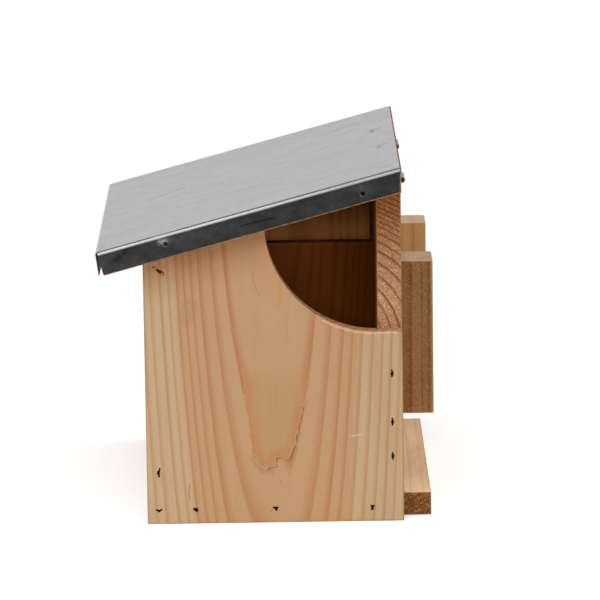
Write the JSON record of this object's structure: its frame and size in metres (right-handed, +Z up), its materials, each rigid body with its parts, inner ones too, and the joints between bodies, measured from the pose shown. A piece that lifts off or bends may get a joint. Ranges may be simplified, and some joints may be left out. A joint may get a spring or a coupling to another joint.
{
  "type": "squirrel feeder box",
  "caption": "Nailed pine feeder box with a quarter-round side opening, a divider, spacer battens and a sloping metal-clad lid hinged along its rear edge.",
  "frame": {"origin": "middle of the flat underside that the box stands on", "axes": "+X from the low front to the hinged rear, +Y from the opening side to the closed side, +Z up"},
  "size_m": [0.2876, 0.3516, 0.3081],
  "materials": {
    "pine": "planed, untreated",
    "rough_pine": "sawn, untreated",
    "roof_sheet": "dull zinc-coated sheet",
    "hinge_steel": "bright zinc plated",
    "fastener_steel": "bare steel"
  },
  "bodies": {
    "box": {"opening_side_panel": "pine", "closed_side_panel": "pine", "front_board": "pine", "back_board": "pine", "floor_board": "pine", "divider_board": "pine", "rear_batten_opening_side": "rough_pine", "rear_batten_closed_side": "rough_pine", "rear_ledge_board": "rough_pine", "opening_side_nails": "fastener_steel", "closed_side_nails": "fastener_steel", "front_joint_staples": "fastener_steel", "divider_nails": "fastener_steel", "ledge_nails": "fastener_steel", "batten_screws": "fastener_steel", "hinge_box_screws": "fastener_steel", "opening_side_hinge_box_leaf": "hinge_steel", "closed_side_hinge_box_leaf": "hinge_steel", "opening_side_hinge_pin": "hinge_steel", "closed_side_hinge_pin": "hinge_steel"},
    "lid": {"lid_board": "pine", "roof_sheet": "roof_sheet", "roof_nails": "fastener_steel", "hinge_lid_screws": "fastener_steel", "opening_side_hinge_lid_leaf": "hinge_steel", "closed_side_hinge_lid_leaf": "hinge_steel"}
  },
  "joints": [
    {"name": "lid_hinge", "type": "hinge", "parent": "box", "child": "lid", "pos_m": [0.1127, 0, 0.28595], "axis": [0, 1, 0], "range_deg": [0, 105]}
  ]
}
